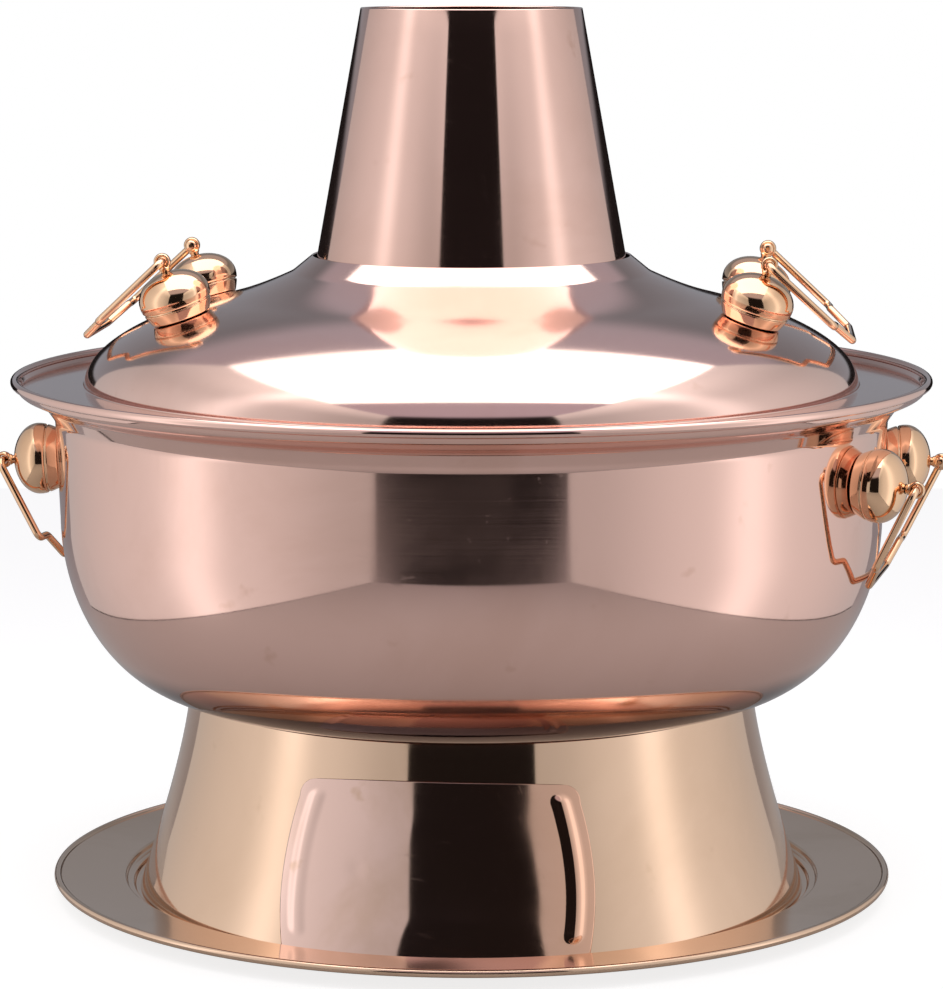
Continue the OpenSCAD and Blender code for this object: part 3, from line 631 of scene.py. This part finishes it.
# %% Bowl
BOWL_WALL, RIM_BEAD = 1.2, 3.38
bowl_path = softened(np.vstack(([[78, 80]], arc_path((109, 150), 52.4, 70, -90, 0, 48),
                                [[162.95, 188.5], [167.35, 194.8], [176.65, 199],
                                 [178.85, 202.9]])), 1.6)
bowl = turned("bowl_shell", sheet_outline(bowl_path, BOWL_WALL, end_bead=RIM_BEAD))
bowl.data.materials.append(bowl_finish)
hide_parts("bowl")
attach(bowl, "pot")

# %% [markdown]
# ## The fire tube and the chimney
# The fire tube stands in the bowl on a welded foot and narrows upwards. Near its top it steps
# in to a spigot, and the loose chimney slips over that and carries the same cone on.

# %% Fire tube and chimney
CONE_TOP_Z, CONE_TOP_RADIUS, TAPER = 346.975, 43, math.tan(math.radians(10.23))


def cone_radius(z):
    return CONE_TOP_RADIUS + (CONE_TOP_Z - z) * TAPER


TUBE_FOOT, TUBE_SEAT, SPIGOT_TOP, SPIGOT_IN = 82.4, 242.975, 265.975, 1.316
tube_path = softened([[cone_radius(TUBE_FOOT) + 8, TUBE_FOOT], [cone_radius(TUBE_FOOT), TUBE_FOOT],
                      [cone_radius(TUBE_SEAT), TUBE_SEAT],
                      [cone_radius(TUBE_SEAT) - SPIGOT_IN, TUBE_SEAT],
                      [cone_radius(SPIGOT_TOP) - SPIGOT_IN, SPIGOT_TOP]], 0.7)
fire_tube = turned("fire_tube_shell", sheet_outline(tube_path, 1.2), 192)
chimney_path = np.array([[cone_radius(z), z] for z in np.linspace(243.6, CONE_TOP_Z - 0.5, 12)])
chimney = turned("chimney_cone", sheet_outline(chimney_path, 1), 192)
for piece, node, body in ((fire_tube, "fire_tube", "pot"), (chimney, "chimney", "chimney")):
    piece.data.materials.append(tube_finish)
    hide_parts(node)
    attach(piece, body)

# %% [markdown]
# ## The lid
# The lid is spun from one disc: a narrow brim, a low dome, and a short collar that rises from a
# crease to the chimney's hole. It is a little duller than the bowl, so its reflections are soft.

# %% Lid
LID_WALL, BRIM_RADIUS, BRIM_Z = 1, 175.45, 201.075
DOME_WIDTH, DOME_HEIGHT, DOME_END = 151.6, 43.8, 50
COLLAR_FOOT, COLLAR_TOP = np.array([70.3, 244.6]), np.array([62.55, 250.9])
dome = arc_path((0, BRIM_Z), DOME_WIDTH, DOME_HEIGHT, 0, DOME_END, 40)
along_dome = (dome[-1] - dome[-2]) / np.linalg.norm(dome[-1] - dome[-2])
shoulder_bend = dome[-1] + along_dome * 13
shoulder = [(1 - s) ** 2 * dome[-1] + 2 * s * (1 - s) * shoulder_bend + s * s * COLLAR_FOOT
            for s in np.linspace(0, 1, 13)[1:]]
lid_path = softened(np.vstack(([[BRIM_RADIUS, BRIM_Z]], dome, shoulder, [COLLAR_TOP])), 1.6)
print("the collar's foot and top:", COLLAR_FOOT, COLLAR_TOP)
lid = turned("lid_shell", sheet_outline(lid_path, LID_WALL))
lid.data.materials.append(lid_finish)
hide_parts("lid")
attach(lid, "lid")

# %% [markdown]
# ## Handles: where the lugs stand
# Each of the four handles has two ball-shaped lugs, each with an eye on a post, and a wire bail
# between them. A handle has its own frame, with its pivot along Y, and each lug leans out from
# the bowl or stands up on the lid.

# %% Frames of the handles
EYE_PITCH, EYE_REACH = 80, 22.5
BODIES = {"pot": dict(radius=162.27, height=170.5, tilt=-2.31, turn=0, pitch=116.08),
          "lid": dict(radius=115.4, height=229.53, tilt=71.27, turn=9.5, pitch=43)}


def turn_z(degrees):
    return Matrix.Rotation(math.radians(degrees), 4, "Z")


def turn_y(degrees):
    return Matrix.Rotation(math.radians(degrees), 4, "Y")


def shift(x, y, z):
    return Matrix.Translation((x, y, z))


def handle_frames(seat):
    """Frames of a body's four lugs, of its four eyes and of its two bails, in millimetres."""
    lean = math.radians(seat["tilt"])
    eye_radius = seat["radius"] + EYE_REACH * math.cos(lean)
    eye_height = seat["height"] + EYE_REACH * math.sin(lean)
    pivot = math.sqrt(eye_radius ** 2 - (EYE_PITCH / 2) ** 2)
    apart = math.degrees(math.asin(EYE_PITCH / 2 / eye_radius))
    lugs, eyes, bails = [], [], {}
    for name, turn in (("right", seat["turn"]), ("left", seat["turn"] + 180)):
        for side in (-1, 1):
            lugs.append(turn_z(turn + side * apart) @ shift(seat["radius"], 0, seat["height"])
                        @ turn_y(90 - seat["tilt"]))
            eyes.append(turn_z(turn) @ shift(pivot, side * EYE_PITCH / 2, eye_height)
                        @ Matrix.Rotation(math.radians(90), 4, "X"))
        bails[name] = (turn_z(turn) @ shift(pivot, 0, eye_height) @ turn_y(180 + seat["pitch"])
                       @ turn_z(90))
    return lugs, eyes, bails


FRAMES = {body: handle_frames(seat) for body, seat in BODIES.items()}
print("first pot lug stands at", [round(v, 1) for v in FRAMES["pot"][0][0].to_translation()])

# %% [markdown]
# ## One lug, eight times
# A lug is a shallow cup riveted to the sheet, a domed cap pressed over it, and a post with a
# ring on its end. Each is turned once, and Geometry Nodes puts a copy on every seat. The seats
# are points that carry their turn as an attribute. The result is made one plain mesh for each
# body, so that the lid's lugs lift off with the lid.

# %% Copies on seats
def new_tree(name, sockets):
    """A Geometry Nodes tree with named inputs; returns it, its entry and their identifiers."""
    tree = bpy.data.node_groups.new(name, "GeometryNodeTree")
    tree.interface.new_socket(name="Geometry", in_out="INPUT", socket_type="NodeSocketGeometry")
    tree.interface.new_socket(name="Geometry", in_out="OUTPUT", socket_type="NodeSocketGeometry")
    identifiers = {label: tree.interface.new_socket(name=label, in_out="INPUT",
                   socket_type="NodeSocket" + kind).identifier for label, kind in sockets.items()}
    return tree, tree.nodes.new("NodeGroupInput").outputs, identifiers


def run_tree(name, mesh, tree, identifiers, **values):
    """Runs a tree on a mesh and returns the result as an object with a plain mesh."""
    carrier = bpy.data.objects.new(name + "_carrier", mesh)
    bpy.context.scene.collection.objects.link(carrier)
    modifier = carrier.modifiers.new(name, "NODES")
    modifier.node_group = tree
    for label, value in values.items():
        modifier[identifiers[label.replace("_", " ")]] = value
    bpy.context.view_layer.update()
    evaluated = carrier.evaluated_get(bpy.context.evaluated_depsgraph_get())
    made = bpy.data.meshes.new_from_object(evaluated)
    carrier.modifiers.remove(modifier)
    bpy.data.objects.remove(carrier)
    made.name = name
    piece = bpy.data.objects.new(name, made)
    bpy.context.scene.collection.objects.link(piece)
    print(name, "has", len(made.polygons), "faces")
    return piece


seat_tree, entry, seat_sockets = new_tree("copies_on_seats", {
    "Copied piece": "Object", "Size": "Float", "Finish": "Material"})
copied = put(seat_tree, "GeometryNodeObjectInfo", {"Object": entry["Copied piece"],
             "As Instance": True}, transform_space="ORIGINAL")
turn = put(seat_tree, "GeometryNodeInputNamedAttribute", {"Name": "turn"}, data_type="FLOAT_VECTOR")
rotation = put(seat_tree, "FunctionNodeEulerToRotation", {0: turn.outputs[0]})
size = put(seat_tree, "ShaderNodeCombineXYZ", {axis: entry["Size"] for axis in range(3)})
copies = put(seat_tree, "GeometryNodeInstanceOnPoints", {
    "Points": entry["Geometry"], "Instance": copied.outputs["Geometry"],
    "Rotation": rotation.outputs[0], "Scale": size.outputs[0]})
real = put(seat_tree, "GeometryNodeRealizeInstances", {"Geometry": copies.outputs[0]})
plated = put(seat_tree, "GeometryNodeSetMaterial", {"Geometry": real.outputs[0],
             "Material": entry["Finish"]})
put(seat_tree, "NodeGroupOutput", {"Geometry": plated.outputs[0]})


def on_seats(name, copied_piece, seats, finish):
    mesh = bpy.data.meshes.new(name + "_seats")
    mesh.from_pydata([seat.to_translation() * MM for seat in seats], [], [])
    turns = mesh.attributes.new("turn", "FLOAT_VECTOR", "POINT")
    for item, seat in zip(turns.data, seats):
        item.vector = seat.to_euler()
    return run_tree(name, mesh, seat_tree, seat_sockets, Copied_piece=copied_piece, Size=1.0,
                    Finish=finish)


# %% [markdown]
# ## The finish of the handles
# Lugs, posts and bails are bright orange gold, polished like mirrors, with small hand scratches
# and a little patchy tarnish. They aren't turned round the pot's axis, so their gloss
# is the same in every direction.

# %% Orange gold
gold, tree = new_material("orange_gold_mirror")
touched = use_group(tree, marks, Amount=0.8)
waves = use_group(tree, uneven, Waves=60.0)["Height"]
GOLD, GOLD_TARNISH = (0.95, 0.62, 0.40, 1), (0.55, 0.28, 0.14, 1)
worn = blend_colours(tree, maths(tree, "MULTIPLY", touched["Haze"], 0.4), GOLD, GOLD_TARNISH)
dulled = maths(tree, "MULTIPLY_ADD", touched["Haze"], 0.05, 0.075)
scuffed = maths(tree, "MULTIPLY_ADD", touched["Scratches"], 0.08, dulled)
rippled = put(tree, "ShaderNodeBump", {"Strength": 1.0, "Distance": 0.02 * MM, "Height": waves})
metal = put(tree, "ShaderNodeBsdfPrincipled", {"Base Color": worn, "Metallic": 1.0,
            "Roughness": scuffed, "Normal": rippled.outputs[0]})
put(tree, "ShaderNodeOutputMaterial", {"Surface": metal.outputs[0]})

# %% Lugs
LUG_RADIUS, LUG_FOOT, LUG_WAIST, LUG_TOP, LUG_WALL = 14, 11.5, 8.3, 18.3, 1
GROOVE_LOW, GROOVE_HIGH, SPIGOT, LUG_FLOOR = 4.5, 5.1, 12.85, 1.2
POST_RADIUS, EYE_RADIUS, EYE_BORE, EYE_WIDTH = 1.7, 3.3, 1.8, 3


def lug_side(height):
    return LUG_FOOT + (LUG_RADIUS - LUG_FOOT) * math.sin(math.pi / 2 * min(1, height / LUG_WAIST))


def removed_after(pieces):
    for piece in pieces:
        bpy.data.objects.remove(piece)


cup_side = [[lug_side(h), h] for h in np.linspace(0.35, GROOVE_LOW - 0.25, 8)]
cup_outline = softened([[0, 0], [LUG_FOOT - 0.3, 0]] + cup_side + [
    [lug_side(GROOVE_LOW) - 0.25, GROOVE_LOW], [SPIGOT, GROOVE_LOW], [SPIGOT, 7.3], [10.5, 7.3],
    [10.5, LUG_FLOOR], [0, LUG_FLOOR]], 0.2, 3)
cap_side = [[lug_side(h), h] for h in np.linspace(GROOVE_HIGH + 0.3, LUG_WAIST, 6)]
cap_dome = arc_path((0, LUG_WAIST), LUG_RADIUS, LUG_TOP - LUG_WAIST, 0, 82, 20)
cap_inside = arc_path((0, LUG_WAIST), LUG_RADIUS - LUG_WALL, LUG_TOP - LUG_WAIST - LUG_WALL,
                      81, 0, 12)
cap_outline = np.vstack(([[13.0, GROOVE_HIGH], [lug_side(GROOVE_HIGH) - 0.3, GROOVE_HIGH]],
                         cap_side, cap_dome[1:], cap_inside, [[13.0, LUG_WAIST - 1]]))
post_outline = [[0, LUG_FLOOR], [3.75, LUG_FLOOR], [3.75, 2.7], [POST_RADIUS, 2.7],
                [POST_RADIUS, LUG_TOP + 0.6], [POST_RADIUS + 0.5, LUG_TOP + 1.4],
                [POST_RADIUS + 0.35, 20.2], [POST_RADIUS - 0.3, 20.8], [0, 20.8]]
ring_middle, ring_wire = (EYE_RADIUS + EYE_BORE) / 2, (EYE_RADIUS - EYE_BORE) / 2
ring_outline = arc_path((ring_middle, 0), ring_wire, EYE_WIDTH / 2, 0, 360, 24)[:-1]
cup = turned("lug_cup", cup_outline, 64, sharp=50)
cap = turned("lug_cap", cap_outline, 64, sharp=50)
post = turned("lug_post", post_outline, 32)
ring = turned("eye_ring", ring_outline, 48)


def gathered(name, pieces, finish):
    """Joins finished pieces into one mesh."""
    work = bmesh.new()
    for piece in pieces:
        work.from_mesh(piece.data)
    mesh = bpy.data.meshes.new(name)
    work.to_mesh(mesh)
    work.free()
    removed_after(pieces)
    mesh.materials.append(finish)
    whole = bpy.data.objects.new(name, mesh)
    bpy.context.scene.collection.objects.link(whole)
    return whole


for body, (lugs, eyes, _) in FRAMES.items():
    handles = [f"{body}_{side}_{place}" for side in ("right", "left")
               for place in ("front", "back")]
    cups = on_seats(body + "_lug_cups", cup, lugs, gold)
    caps = on_seats(body + "_lug_caps", cap, lugs, gold)
    studs = gathered(body + "_eye_studs", [on_seats(body + "_posts", post, lugs, gold),
                                           on_seats(body + "_eyes", ring, eyes, gold)], gold)
    for piece, kind in ((cups, "lug_base"), (caps, "lug_cap"), (studs, "eye_stud")):
        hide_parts(*[f"{handle}_{kind}" for handle in handles])
        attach(piece, body)
removed_after([cup, cap, post, ring])

# %% [markdown]
# ## Wire bails
# A bail is one bent wire. Its two ends turn inwards through the eyes and are headed over, so
# that they can't slip out. The wire's middle line is a chain of points with rounded bends, and
# each point carries the wire's girth there. Geometry Nodes sweeps a circle along it.

# %% Bent wire
WIRE, BEND_RADIUS = 3, 3
BAIL_CORNERS = [[45.5, 0], [42, 34], [33, 34], [25, 44]]
HEAD = [(36, 0.5), (36.15, 1.0), (36.5, 1.38), (36.9, 1.53), (37.3, 1.4), (37.6, 1.1), (37.9, 1.0)]

wire_tree, entry, wire_sockets = new_tree("swept_wire", {
    "Wire radius": "Float", "Sides": "Int", "Finish": "Material"})
line = put(wire_tree, "GeometryNodeMeshToCurve", {"Mesh": entry["Geometry"]})
circle = put(wire_tree, "GeometryNodeCurvePrimitiveCircle", {"Resolution": entry["Sides"],
             4: entry["Wire radius"]})
girth = put(wire_tree, "GeometryNodeInputNamedAttribute", {"Name": "girth"}, data_type="FLOAT")
swept = put(wire_tree, "GeometryNodeCurveToMesh", {
    "Curve": line.outputs[0], "Profile Curve": circle.outputs[0], "Scale": girth.outputs[0],
    "Fill Caps": True})
smooth_wire = put(wire_tree, "GeometryNodeSetShadeSmooth", {"Geometry": swept.outputs[0]})
real = put(wire_tree, "GeometryNodeRealizeInstances", {"Geometry": smooth_wire.outputs[0]})
plated = put(wire_tree, "GeometryNodeSetMaterial", {"Geometry": real.outputs[0],
             "Material": entry["Finish"]})
put(wire_tree, "NodeGroupOutput", {"Geometry": plated.outputs[0]})


def round_bends(corners, radius, steps=8):
    """Corners of a wire as true arcs of the bend's radius."""
    corners = [np.array(corner, float) for corner in corners]
    points = [corners[0]]
    for before, corner, after in zip(corners, corners[1:], corners[2:]):
        a = (before - corner) / np.linalg.norm(before - corner)
        b = (after - corner) / np.linalg.norm(after - corner)
        half = math.acos(np.clip(np.dot(a, b), -1, 1)) / 2
        cut = min(radius / math.tan(half), 4.6)
        radius_here = cut * math.tan(half)
        middle = corner + (a + b) / np.linalg.norm(a + b) * radius_here / math.sin(half)
        start, end = corner + a * cut - middle, corner + b * cut - middle
        sweep = math.pi - 2 * half
        for s in np.linspace(0, 1, steps + 1):
            points.append(middle + (start * math.sin(sweep * (1 - s)) + end * math.sin(sweep * s))
                          / math.sin(sweep))
    return points + [corners[-1]]


half_wire = BAIL_CORNERS + [[-x, y] for x, y in BAIL_CORNERS[::-1]]
bends = round_bends([[38.2, 0]] + half_wire + [[-38.2, 0]], BEND_RADIUS)
wire_line = [[x, 0, 0] for x, _ in HEAD] + [[x, y, 0] for x, y in bends] + [
    [-x, 0, 0] for x, _ in HEAD[::-1]]
wire_girth = [girth for _, girth in HEAD] + [0.98] * len(bends) + [girth for _, girth in HEAD[::-1]]


def bent_bail(name, frame_matrix):
    mesh = bpy.data.meshes.new(name + "_line")
    points = [frame_matrix @ Vector(point) * MM for point in wire_line]
    mesh.from_pydata(points, [(i, i + 1) for i in range(len(points) - 1)], [])
    mesh.attributes.new("girth", "FLOAT", "POINT").data.foreach_set("value", wire_girth)
    return run_tree(name, mesh, wire_tree, wire_sockets, Wire_radius=WIRE / 2 * MM, Sides=24,
                    Finish=gold)


for body, (_, _, bails) in FRAMES.items():
    for side_name, matrix in bails.items():
        node = f"{body}_{side_name}_bail"
        bail = bent_bail(node + "_wire", matrix)
        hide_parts(node)
        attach(bail, node)

# %% [markdown]
# ## The plain parts inside
# The cast grate, its bolts and nuts, and the door's clips keep their CAD shapes, which are
# right. Cast iron is matt, dark and pitted, with rust and ash. The steel is dulled by heat.

# %% Iron and steel
iron, tree = new_material("cast_iron")
where = placed(tree)
grains = noise(tree, where, 900.0, 4.0, 0.65)
ash = soft_step(tree, noise(tree, where, 60.0, 4.0, 0.6), 0.55, 0.12)
rust = soft_step(tree, noise(tree, where, 34.0, 3.0, 0.6), 0.6, 0.1)
rusted = blend_colours(tree, rust, (0.055, 0.05, 0.048, 1), (0.16, 0.07, 0.035, 1))
ashy = blend_colours(tree, maths(tree, "MULTIPLY", ash, 0.4), rusted, (0.34, 0.32, 0.30, 1))
pits = put(tree, "ShaderNodeBump", {"Strength": 0.6, "Distance": 0.3 * MM, "Height": grains})
metal = put(tree, "ShaderNodeBsdfPrincipled", {"Base Color": ashy, "Metallic": 0.6,
            "Roughness": maths(tree, "MULTIPLY_ADD", grains, 0.25, 0.55),
            "Normal": pits.outputs[0]})
put(tree, "ShaderNodeOutputMaterial", {"Surface": metal.outputs[0]})

steel, tree = new_material("dulled_steel")
touched = use_group(tree, marks, Amount=0.8)
blued = blend_colours(tree, touched["Haze"], (0.56, 0.56, 0.58, 1), (0.36, 0.30, 0.26, 1))
metal = put(tree, "ShaderNodeBsdfPrincipled", {"Base Color": blued, "Metallic": 1.0,
            "Roughness": maths(tree, "MULTIPLY_ADD", touched["Scratches"], 0.15, 0.3)})
put(tree, "ShaderNodeOutputMaterial", {"Surface": metal.outputs[0]})

for node, finish in (("fire_grate", iron), ("grate_bolts", steel), ("grate_nuts", steel),
                     ("door_left_clip", steel), ("door_right_clip", steel)):
    kept = bpy.data.objects[node]
    kept.data.materials.clear()
    kept.data.materials.append(finish)
